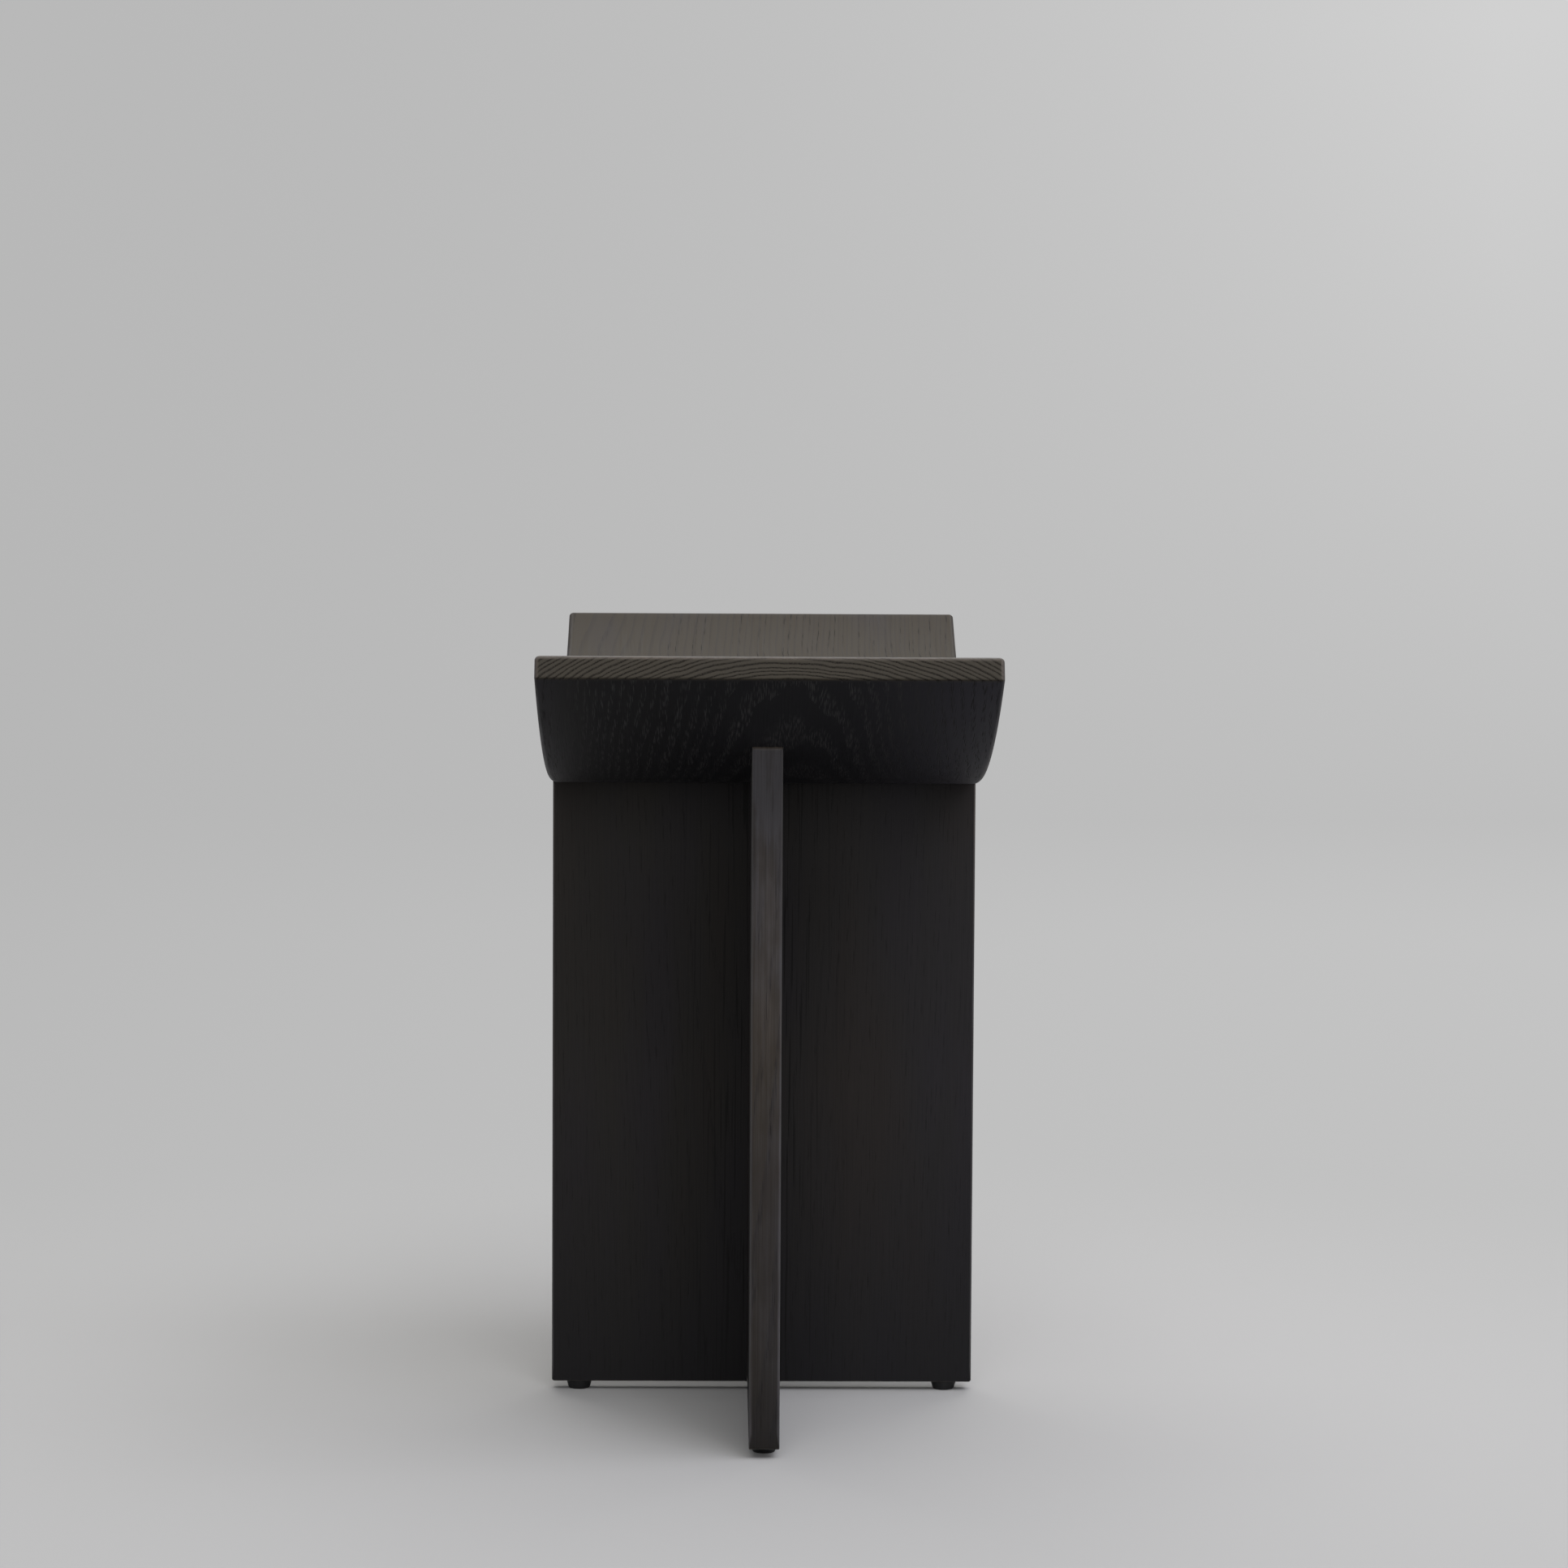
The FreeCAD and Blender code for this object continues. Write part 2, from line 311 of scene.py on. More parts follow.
def outline(corners, top, arris):
    """Outline with rounded feet, and the arris of each point.

    The arris is least in the notch and along the top, and small at the foot.
    """
    corners = np.array(corners)
    at_foot = (corners[:, 1] == panel_bottom) & (np.abs(corners[:, 0]) == np.abs(corners[:, 0]).max())
    points = rounded(corners, np.where(at_foot, OUTLINE_CORNER, 0), OUTLINE_CORNER_STEPS)
    points = points[np.linalg.norm(points - np.roll(points, 1, axis=0), axis=1) > SAME_POINT]
    in_notch = np.abs(points[:, 0]) < notch_half + CRISP_REACH
    crisp = in_notch | (points[:, 1] > top(points[:, 0]) - CRISP_REACH)
    at_floor = points[:, 1] < panel_bottom + OUTLINE_CORNER + FACE_MARGIN
    return points, np.where(crisp, CRISP_ARRIS, np.where(at_floor, FOOT_ARRIS, arris))


def inward(points):
    """Mitred inward direction at each point of an anticlockwise outline."""
    edge = np.roll(points, -1, axis=0) - points
    edge /= np.linalg.norm(edge, axis=1, keepdims=True)
    normal = np.stack([-edge[:, 1], edge[:, 0]], axis=1)
    before = np.roll(normal, 1, axis=0)
    return (normal + before) / (1 + np.sum(normal * before, axis=1, keepdims=True))


# %% Carry an outline through the thickness
def panel_rings(points, arris):
    """Outline at each depth: inset r(1 - sin a) and depth r(1 - cos a), for a from 0 to 90 degrees.

    The quarter-round is mirrored at the far face, and a ring a margin inside closes each face flat.
    Returns (place, height) and depth of every point, with how worn it is, where the upright edges also carry
    painted light that grows towards the top, how much it faces along the grain and how much of the figure it
    shows, which is most on the upright edges. Each point also carries the mark for painted shade.
    """
    turn = np.linspace(0, math.pi / 2, PANEL_ARRIS_STEPS)[:, None]
    inset = np.concatenate([arris[None] + FACE_MARGIN, arris * (1 - np.sin(turn))])
    depth = np.concatenate([0 * arris[None], arris * (1 - np.cos(turn))])
    worn = np.concatenate([0 * arris[None], np.sin(2 * turn) + 0 * arris])
    way = inward(points)
    end_grain, upright = (np.concatenate([0 * arris[None], np.sin(turn) * share])
                          for share in np.minimum(np.abs(way), 1)[:, ::-1].T)
    # On the upright edges the wear rises towards the top, where it also paints light.
    worn = np.maximum(worn, upright * np.interp(points[:, 1], EDGE_RUB_AND_LIGHT_HEIGHTS, EDGE_RUB_AND_LIGHT))
    figure = PANEL_FIGURE + (1 - PANEL_FIGURE) * upright
    near = points + inset[..., None] * way
    # Every panel point carries the mark for painted shade, which the material darkens towards the foot.
    near_marks = dict(arris=worn, end_grain=end_grain, dust=0 * worn, figure=figure, stain=1 + 0 * worn)
    marks = {name: np.concatenate([part, part[::-1]]) for name, part in near_marks.items()}
    depths = np.concatenate([depth, panel_thickness - depth[::-1]]) - panel_thickness / 2
    return np.concatenate([near, near[::-1]]), depths, marks


# %% Cross panel
CROSS_PITH_ACROSS = -4 * MM
CROSS_PITH_BEHIND = 62 * MM

side, notch, top = cross_high.x, notch_half, scribed_top(0.0)
beside = notch + CRISP_MARGIN
rises = [panel_bottom + FOOT_BLEND, *EDGE_RUB_AND_LIGHT_HEIGHTS[1:-1], top - CRISP_MARGIN]
cross_corners = [
    (-side, panel_bottom), (-beside, panel_bottom), (-notch, panel_bottom), (-notch, lap_height),
    (notch, lap_height), (notch, panel_bottom), (beside, panel_bottom), (side, panel_bottom),
    *[(side, rise) for rise in rises], (side, top), (-side, top), *[(-side, rise) for rise in rises[::-1]],
]
flat, depths, marks = panel_rings(*outline(cross_corners, lambda aside: scribed_top(0 * aside), CROSS_ARRIS))
cross_points = np.stack([flat[..., 0], depths, flat[..., 1]], axis=-1)
cross_grain = np.stack(
    [flat[..., 0] - CROSS_PITH_ACROSS, CROSS_PITH_BEHIND - depths, PLANK_STEP + flat[..., 1]], axis=-1)
cross_panel = skin("cross_panel_board", cross_points[None], grain=cross_grain, **marks)
place(cross_panel, "cross_panel")

# %% Long panel
LONG_PITH_ALONG = -70 * MM
LONG_PITH_ASIDE = 30 * MM
TOP_STEPS = 48

places = np.linspace(long_high.y, notch_half, TOP_STEPS)
rear_top = np.stack([places, scribed_top(places)], axis=1)
front_top = (rear_top * [-1, 1])[::-1]
rises = [panel_bottom, panel_bottom + FOOT_BLEND, *EDGE_RUB_AND_LIGHT_HEIGHTS[1:-1], rear_top[0, 1] - CRISP_MARGIN]
rear_edge = np.array([(long_high.y, rise) for rise in rises])
front_edge = (rear_edge * [-1, 1])[::-1]
notch_floor = [(notch_half, lap_height), (-notch_half, lap_height)]
long_corners = np.concatenate([front_edge, rear_edge, rear_top, notch_floor, front_top])
flat, depths, marks = panel_rings(*outline(long_corners, scribed_top, LONG_ARRIS))
long_points = np.stack([depths, flat[..., 0], flat[..., 1]], axis=-1)
long_grain = np.stack(
    [flat[..., 0] - LONG_PITH_ALONG, depths + LONG_PITH_ASIDE, PLANK_STEP + flat[..., 1]], axis=-1)
long_panel = skin("long_panel_board", long_points[None], grain=long_grain, **marks)
place(long_panel, "long_panel")

# %% [markdown]
# ## The glides and their screws
#
# Under the end of each panel is a moulded nylon glide, wider at the top than at the floor, held by one
# screw whose head is sunk in it. A glide is a closed profile carried round an upright axis. A screw is
# too, but its radius also depends on the angle, which gives the thread, and its head has a cross recess.

# %% Glide profile
GLIDE_TOP_RADIUS = 7.75 * MM
GLIDE_FLOOR_RADIUS = 6.2 * MM
GLIDE_HOLE_RADIUS = 1.85 * MM
GLIDE_RECESS_RADIUS = 3.55 * MM
HEAD_SEAT = 3.1 * MM
GLIDE_ROUNDS = np.array([0.1, 0.3, 0.3, 1.5, 0.25, 0.1]) * MM
GLIDE_ROUND_STEPS = 6
GLIDE_STEPS = 72
GLIDE_NODES = ("foot_left", "foot_right", "foot_front", "foot_rear")

glide_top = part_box("foot_front")[1].z
glide_corners = np.array([
    (GLIDE_HOLE_RADIUS, HEAD_SEAT), (GLIDE_RECESS_RADIUS, HEAD_SEAT), (GLIDE_RECESS_RADIUS, 0),
    (GLIDE_FLOOR_RADIUS, 0), (GLIDE_TOP_RADIUS, glide_top), (GLIDE_HOLE_RADIUS, glide_top),
])
glide_profile = rounded(glide_corners, GLIDE_ROUNDS, GLIDE_ROUND_STEPS)
print("glide stands", round(glide_top / MM, 2), "mm high")


def turned(radius, height):
    """Points of a turned shape about an upright axis at the origin: x = r cos a, y = r sin a."""
    around = np.linspace(0, 2 * math.pi, radius.shape[1], endpoint=False)
    return np.stack([radius * np.cos(around), radius * np.sin(around), height], axis=-1)


# %% Four glides
glide_centres = {node: sum(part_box(node), Vector()) / 2 for node in GLIDE_NODES}
whole_turn = np.ones((1, GLIDE_STEPS))
glide_shape = turned(glide_profile[:, :1] * whole_turn, glide_profile[:, 1:] * whole_turn)
glides = []
for node, centre in glide_centres.items():
    shape = glide_shape + np.array([centre.x, centre.y, 0])
    glides.append(place(skin(node.replace("foot", "glide"), shape[None], joined=True), node))

# %% Screw surface
HEAD_RADIUS = 3.3 * MM
HEAD_HEIGHT = 2.1 * MM
HEAD_CROWN = 0.9 * MM
SHANK_RADIUS = 1.75 * MM
CORE_RADIUS = 1.2 * MM
THREAD_PITCH = 1.5 * MM
SCREW_POINT = 21.5 * MM
SCREW_TIP = 3 * MM
RECESS_DEPTH = 1.3 * MM
RECESS_REACH = 2.0 * MM
RECESS_HALF_WIDTH = 0.42 * MM
RECESS_WALL = 0.12 * MM
RECESS_SLOPE = 0.5 * MM
HEAD_MIDDLE_SHARE = 0.02
TIP_BLUNT = 0.05 * MM
HEAD_RINGS, SHANK_RINGS, TIP_RINGS = 30, 90, 8
SCREW_STEPS = 48


def screw_shape():
    """Radius and height of a screw at each (ring, angle).

    The head's crown rises as the sixth power of the radius. The cross recess is where the distance to
    either bar of the cross is under its half width. The thread is a cubed cosine of height and angle.
    """
    share = np.linspace(HEAD_MIDDLE_SHARE, 1, HEAD_RINGS)[:, None]
    shank = np.linspace(HEAD_SEAT, SCREW_POINT - SCREW_TIP, SHANK_RINGS)[:, None]
    tip = np.linspace(SCREW_POINT - SCREW_TIP, SCREW_POINT - TIP_BLUNT, TIP_RINGS)[1:, None]
    around = np.linspace(0, 2 * math.pi, SCREW_STEPS, endpoint=False)
    head_radius = HEAD_RADIUS * share + 0 * around
    to_bar = head_radius * np.minimum(np.abs(np.cos(around)), np.abs(np.sin(around)))
    in_bar = np.clip((RECESS_HALF_WIDTH - to_bar) / RECESS_WALL + 0.5, 0, 1)
    in_reach = np.clip((RECESS_REACH - head_radius) / RECESS_SLOPE, 0, 1)
    head_height = HEAD_SEAT - HEAD_HEIGHT + HEAD_CROWN * share ** 6 + RECESS_DEPTH * in_bar * in_reach
    ridge = (0.5 + 0.5 * np.cos(2 * math.pi * shank / THREAD_PITCH - around)) ** 3
    threaded = np.clip((shank - glide_top) / THREAD_PITCH, 0, 1)
    shank_radius = SHANK_RADIUS + threaded * (CORE_RADIUS - SHANK_RADIUS) * (1 - ridge)
    tip_radius = CORE_RADIUS * (SCREW_POINT - tip) / SCREW_TIP + 0 * around
    radius = np.concatenate([head_radius, head_radius[-1:], shank_radius, tip_radius])
    height = np.concatenate([head_height, [HEAD_SEAT + 0 * around], shank + 0 * around, tip + 0 * around])
    return radius, height


# %% Four screws
screw = turned(*screw_shape())
screw_places = np.array([(centre.x, centre.y, 0) for centre in glide_centres.values()])
screws = skin("glide_screws", screw + screw_places[:, None, None])
place(screws, "foot_screws")

# %% [markdown]
# ## Nodes without a forest
#
# A material is a graph of nodes. One helper adds any node with its settings and links, and colours are
# written as sRGB hex, as a paint chart gives them, and turned to linear light in one place.

# %% Colour and node helpers
# A Mix node for colours takes its share at input 0 and its colours at 6 and 7, and gives the result at 2.
COLOUR_MIX = {"out": 2, "data_type": "RGBA"}


def linear(hex_colour):
    """Linear RGBA of an sRGB hex colour: each channel is divided by 12.92, or raised to 2.4 past the toe."""
    srgb = np.array([int(hex_colour[i:i + 2], 16) for i in (1, 3, 5)]) / 255
    light = np.where(srgb <= 0.04045, srgb / 12.92, ((srgb + 0.055) / 1.055) ** 2.4)
    return (*light.tolist(), 1.0)


def add(tree, kind, inputs=(), out=0, **settings):
    """Adds one node and gives back one of its outputs, for the next node to read.

    Settings are the node's properties. Its inputs are a list in the node's own order, or a dict by name or
    number, and each is a number, a colour or another node's output.
    """
    node = tree.nodes.new("ShaderNode" + kind)
    for name, value in settings.items():
        setattr(node, name, value)
    for name, value in inputs.items() if isinstance(inputs, dict) else enumerate(inputs):
        if isinstance(value, bpy.types.NodeSocket):
            tree.links.new(value, node.inputs[name])
        else:
            node.inputs[name].default_value = value
    return node.outputs[out] if len(node.outputs) else None


def new_material(name):
    """An empty material and its node tree."""
    material = bpy.data.materials.new(name)
    material.use_nodes = True
    material.node_tree.nodes.clear()
    return material, material.node_tree


# %% [markdown]
# ## Oak, stained black-brown and oiled matt
#
# Oak is ring-porous: each year's ring starts with a row of large open pores and ends in dense wood. The
# stain fills the pores darkest. So the wood is solved in space, as rings round the pith with long thin
# cells for the pores, and every cut through it, end grain or face, shows the pattern that a saw would.

# %% Sizes of the grain
# Each pair is a pattern's size across and along the grain. Real pores are about 0.3 mm wide and real
# fibres far finer, so both are drawn as coarse as they need to be to show.
RING_WIDTH_MM = 2.5
PORE_MM = (0.56, 13.0)
FIBRE_MM = (0.4, 40.0)
STRIP_MM = (1.6, 90.0)
PATCH_MM = (38.0, 180.0)
WEAR_MM = (9.0, 26.0)
CHECK_MM = (1.6, 100.0)
WANDER_CELL_MM = (60.0, 420.0)
WANDER_MM = 9.0
RING_TAPER = -0.03
PORE_DEPTH = 0.04 * MM


def per_mm(across, along):
    """Scale that makes a texture's unit cell this many millimetres across and along the grain."""
    return (1 / across, 1 / across, 1 / along)


def wood_cloud(tree, mm, cell, detail):
    """Soft noise with cells of this size across and along the grain: the place is divided by the cell."""
    cells = add(tree, "VectorMath", [mm, per_mm(*cell)], operation="MULTIPLY")
    return add(tree, "TexNoise", {"Vector": cells, "Scale": 1.0, "Detail": detail})


print("rings", RING_WIDTH_MM, "mm wide, pores", PORE_MM[0], "mm wide")

# %% Rings
# Good and bad years follow each other about every four years, and move a ring by up to 1.3 widths.
WEATHER_PER_YEAR = 0.23
WEATHER_YEARS = 1.3


def oak_rings(tree, mm):
    """The place strayed by a slow wander, the season in its ring and a random share for each ring.

    The year is the distance from the pith over the ring width, shifted by good and bad weather. The ring is
    its whole part and the season is the rest.
    """
    slow = add(tree, "VectorMath", [mm, per_mm(*WANDER_CELL_MM)], operation="MULTIPLY")
    wander = add(
        tree, "TexNoise", {"Vector": slow, "Scale": 1.0, "Detail": 4.0, "Roughness": 0.6}, out="Color")
    strayed = add(tree, "VectorMath", [wander, (WANDER_MM, WANDER_MM, 0), mm], operation="MULTIPLY_ADD")
    level = add(tree, "VectorMath", [strayed, (1, 1, 0)], operation="MULTIPLY")
    from_pith = add(tree, "VectorMath", [level], out="Value", operation="LENGTH")
    along = add(tree, "SeparateXYZ", [mm], out="Z")
    radius = add(tree, "Math", [along, RING_TAPER, from_pith], operation="MULTIPLY_ADD")
    years = add(tree, "Math", [radius, 1 / RING_WIDTH_MM], operation="MULTIPLY")
    weather = add(
        tree, "TexNoise", {"W": years, "Scale": WEATHER_PER_YEAR, "Detail": 1.0}, noise_dimensions="1D")
    year = add(tree, "Math", [weather, WEATHER_YEARS, years], operation="MULTIPLY_ADD")
    season = add(tree, "Math", [year], operation="FRACT")
    ring = add(tree, "Math", [year], operation="FLOOR")
    chance = add(tree, "TexWhiteNoise", {"W": ring}, noise_dimensions="1D")
    return strayed, season, chance


# %% Pores
# A range here and below is what a pattern's value runs from and to, and what those two ends become.
EARLY_PORES = (0.2, 0.4, 1.0, 0.0)
PORE_WALL = (0.2, 0.52, 1.0, 0.0)
FACE_PORES = (0.5, 0.65, 1.0, 0.0)
LATER_BELOW, LATER_ON_ENDS = -0.2, -0.08
MORE_BELOW, MORE_ON_ENDS = -0.5, -1.0
WIDER_ON_ENDS = -0.12
CROWDED_ON_ENDS = 0.55


def oak_pores(tree, strayed, season, chance, end_grain, dust):
    """Long thin cells, open in the early wood: the hollow of a cell times the season and whether it shows.

    A face shows a few rows of them, the underside shows more, and end grain shows them all.
    """
    later = add(tree, "Math", [dust, LATER_BELOW, season], operation="MULTIPLY_ADD")
    later = add(tree, "Math", [end_grain, LATER_ON_ENDS, later], operation="MULTIPLY_ADD")
    early = add(tree, "MapRange", [later, *EARLY_PORES])
    cells = add(tree, "VectorMath", [strayed, per_mm(*PORE_MM)], operation="MULTIPLY")
    vessel = add(tree, "TexVoronoi", {"Vector": cells, "Scale": 1.0})
    wider = add(tree, "Math", [end_grain, WIDER_ON_ENDS, vessel], operation="MULTIPLY_ADD")
    hollow = add(tree, "MapRange", [wider, *PORE_WALL], interpolation_type="SMOOTHSTEP")
    crowded = add(tree, "Math", [end_grain, CROWDED_ON_ENDS], operation="MULTIPLY")
    hollow = add(tree, "Math", [hollow, crowded], operation="MAXIMUM")
    draw = add(tree, "SeparateColor", [vessel.node.outputs["Color"]], out="Red")
    odds = add(tree, "Math", [draw, chance], operation="MAXIMUM")
    odds = add(tree, "Math", [end_grain, MORE_ON_ENDS, odds], operation="MULTIPLY_ADD")
    odds = add(tree, "Math", [dust, MORE_BELOW, odds], operation="MULTIPLY_ADD")
    shown = add(tree, "MapRange", [odds, *FACE_PORES])
    open_wood = add(tree, "Math", [hollow, early], operation="MULTIPLY")
    return add(tree, "Math", [open_wood, shown], operation="MULTIPLY")


# %% Hairline checks
CHECK_LINES = (0.36, 0.41, 0.85, 0.0)
CHECKS_FROM_JOINT = (12 * MM, 55 * MM, 1.0, 0.0)


def oak_checks(tree, mm, panel_face):
    """Thin dark lines along the grain of the panels' faces, fading with the level distance from the joint."""
    spot = add(tree, "TexCoord", out="Object")
    level = add(tree, "VectorMath", [spot, (1, 1, 0)], operation="MULTIPLY")
    from_joint = add(tree, "VectorMath", [level], out="Value", operation="LENGTH")
    near = add(tree, "MapRange", [from_joint, *CHECKS_FROM_JOINT])
    line = add(tree, "MapRange", [wood_cloud(tree, mm, CHECK_MM, 1.0), *CHECK_LINES])
    line = add(tree, "Math", [line, panel_face], operation="MULTIPLY")
    return add(tree, "Math", [line, near], operation="MULTIPLY")


# %% Rubbed arrises and painted highlights
STRIP_RUB = (0.3, 0.6, 0.42, 0.74)
FIBRE_RUB = (0.3, 0.7, 0.85, 1.1)
WEAR_RUB = (0.35, 0.65, 0.65, 1.25)


def oak_rubbed_and_lit(tree, mm, arris, fibre):
    """How far the stained surface is worn off, and on some arrises how much highlight is painted: the arris
    times three patterns, each brought into its own range.
    """
    strip = wood_cloud(tree, mm, STRIP_MM, 2.0)
    wear = wood_cloud(tree, mm, WEAR_MM, 3.0)
    rubbed_and_lit = arris
    for pattern, span in ((strip, STRIP_RUB), (fibre, FIBRE_RUB), (wear, WEAR_RUB)):
        share = add(tree, "MapRange", [pattern, *span])
        rubbed_and_lit = add(tree, "Math", [rubbed_and_lit, share], operation="MULTIPLY")
    return rubbed_and_lit


# %% Sheen of the oiled oak
PORE_SHEEN = (0.0, 1.0, 0.13, 0.05)
END_SHEEN = 0.3
ARRIS_SHEEN = 0.5


def oak_sheen(tree, open_pore, arris, end_grain, panel_face):
    """Specular level: low on a face, lower in its pores, and raised on the ends' top rounds, where wear and a
    painted highlight are, and on the panels' arrises.

    A panel's arris is where panel_face is between 0 and 1: a rising times a falling ramp peaks halfway.
    """
    sheen = add(tree, "MapRange", [open_pore, *PORE_SHEEN])
    rubbed_end = add(tree, "Math", [end_grain, arris], operation="MULTIPLY")
    sheen = add(tree, "Math", [rubbed_end, END_SHEEN, sheen], operation="MULTIPLY_ADD")
    rising = add(tree, "MapRange", [panel_face, 0.0, 0.5, 0.0, 1.0])
    falling = add(tree, "MapRange", [panel_face, 0.5, 1.0, 1.0, 0.0])
    halfway = add(tree, "Math", [rising, falling], operation="MULTIPLY")
    return add(tree, "Math", [halfway, ARRIS_SHEEN, sheen], operation="MULTIPLY_ADD")


# %% Colours and ranges of the stain
LATE_WOOD, EARLY_WOOD = "#312A20", "#2A241D"
# Darker, cooler copies of the colour, painted as shade on the underside and the panels' faces.
SHADE_BELOW_LEFT, SHADE_BELOW_RIGHT = "#2A292B", "#292832"
SHADE_PANEL_LEFT, SHADE_PANEL_RIGHT = "#28282A", "#26272D"
BROWN_PATCH, VIOLET_PATCH = "#2E2620", "#2A2730"
# The deep colour is painted shade, low on the panels and across the middle of the underside.
PAINTED_SHADE, END_WOOD, CHECK_DARK = "#151518", "#403C34", "#0E0D0D"
# The pale pore filling paints glints in the pores across the middle of the underside.
FACE_FILLING, END_FILLING, GLINT_FILLING = "#13110F", "#0E0B09", "#484747"
# The rubbed colours also serve as painted highlights on some arrises.
BARE_AND_HIGHLIGHT_GREY, BARE_AND_HIGHLIGHT_BROWN, BARE_AND_HIGHLIGHT_END = "#4F4D50", "#534B44", "#544B42"

EARLY_SEASON = (0.12, 0.36, 1.0, 0.0)
PANEL_FACE = (PANEL_FIGURE, 1.0, 1.0, 0.0)
# The panels' painted shade is darkest at their foot and fades out up to their lap. The seat's board lies
# before this range and keeps it all.
PAINTED_SHADE_LOW_DOWN = ((PLANK_STEP + panel_bottom) / MM, (PLANK_STEP + lap_height) / MM, 1.0, 0.0)
VIOLET_ACROSS = (-50 * MM, 100 * MM, 0.0, 1.0)
BROWN_PATCHES = (0.5, 0.72, 0.0, 0.3)
VIOLET_PATCHES = (0.5, 0.3, 0.0, 0.35)
BARE_AND_HIGHLIGHT_PATCHES = (0.48, 0.62, 0.0, 0.6)
FIBRE_STREAKS = (0.3, 0.7, 0.77, 1.03)
FIBRE_ROUGHNESS = (0.3, 0.7, 0.5, 0.6)
FIBRE_RELIEF = 0.2
PANEL_SHADE = 0.75
OIL_IOR = 1.46


# %% Coats of colour
def oak_colour(tree, mm, pore, early, fibre, marks):
    """Wood colour with each coat laid over the ones before it, by its share times its strength."""
    arris, end_grain, dust, panel_face, stain, dusty = marks
    patch = wood_cloud(tree, mm, PATCH_MM, 3.0)
    brown, violet, browned = (
        add(tree, "MapRange", [patch, *span]) for span in (BROWN_PATCHES, VIOLET_PATCHES, BARE_AND_HIGHLIGHT_PATCHES))
    spot = add(tree, "TexCoord", out="Object")
    aside = add(tree, "SeparateXYZ", [spot], out="X")
    turning = add(tree, "MapRange", [aside, *VIOLET_ACROSS])
    pairs = [
        (early, LATE_WOOD, EARLY_WOOD),
        (turning, SHADE_BELOW_LEFT, SHADE_BELOW_RIGHT),
        (turning, SHADE_PANEL_LEFT, SHADE_PANEL_RIGHT),
        (end_grain, FACE_FILLING, END_FILLING),
        (browned, BARE_AND_HIGHLIGHT_GREY, BARE_AND_HIGHLIGHT_BROWN),
    ]
    wood, below, panel, filling, bare_and_highlight = (
        add(tree, "Mix", {0: share, 6: linear(first), 7: linear(second)}, **COLOUR_MIX)
        for share, first, second in pairs)
    shade = add(tree, "Mix", {0: panel_face, 6: below, 7: panel}, **COLOUR_MIX)
    # Pale filling paints glints in the pores across the middle of the underside.
    filling = add(tree, "Mix", {0: dusty, 6: filling, 7: linear(GLINT_FILLING)}, **COLOUR_MIX)
    bare_and_highlight = add(tree, "Mix", {0: end_grain, 6: bare_and_highlight, 7: linear(BARE_AND_HIGHLIGHT_END)}, **COLOUR_MIX)
    # Painted shade: what faces down and the panels' faces get a darker, cooler copy of the colour.
    panel_shade = add(tree, "Math", [panel_face, PANEL_SHADE], operation="MULTIPLY")
    shaded = add(tree, "Math", [dust, panel_shade], operation="MAXIMUM")
    checks = oak_checks(tree, mm, panel_face)
    rubbed_and_lit = oak_rubbed_and_lit(tree, mm, arris, fibre)
    coats = [
        # painted shade on what faces down and on the panels' faces
        (shaded, 0.9, shade),
        (brown, 1.0, linear(BROWN_PATCH)),
        (violet, 1.0, linear(VIOLET_PATCH)),
        # painted shade, low on the panels and across the middle of the underside
        (stain, 0.8, linear(PAINTED_SHADE)),
        (end_grain, 0.8, linear(END_WOOD)),
        # the pore filling, pale where it paints glints on the underside
        (pore, 0.95, filling),
        (checks, 1.0, linear(CHECK_DARK)),
        # wear, which on the seat's lower arrises and ends and high on the panels' edges also paints a
        # highlight
        (rubbed_and_lit, 1.0, bare_and_highlight),
    ]
    for share, strength, colour in coats:
        cover = add(tree, "Math", [share, strength], operation="MULTIPLY")
        wood = add(tree, "Mix", {0: cover, 6: wood, 7: colour}, **COLOUR_MIX)
    streak = add(tree, "MapRange", [fibre, *FIBRE_STREAKS])
    return add(tree, "Mix", {0: 1.0, 6: wood, 7: streak}, blend_type="MULTIPLY", **COLOUR_MIX)


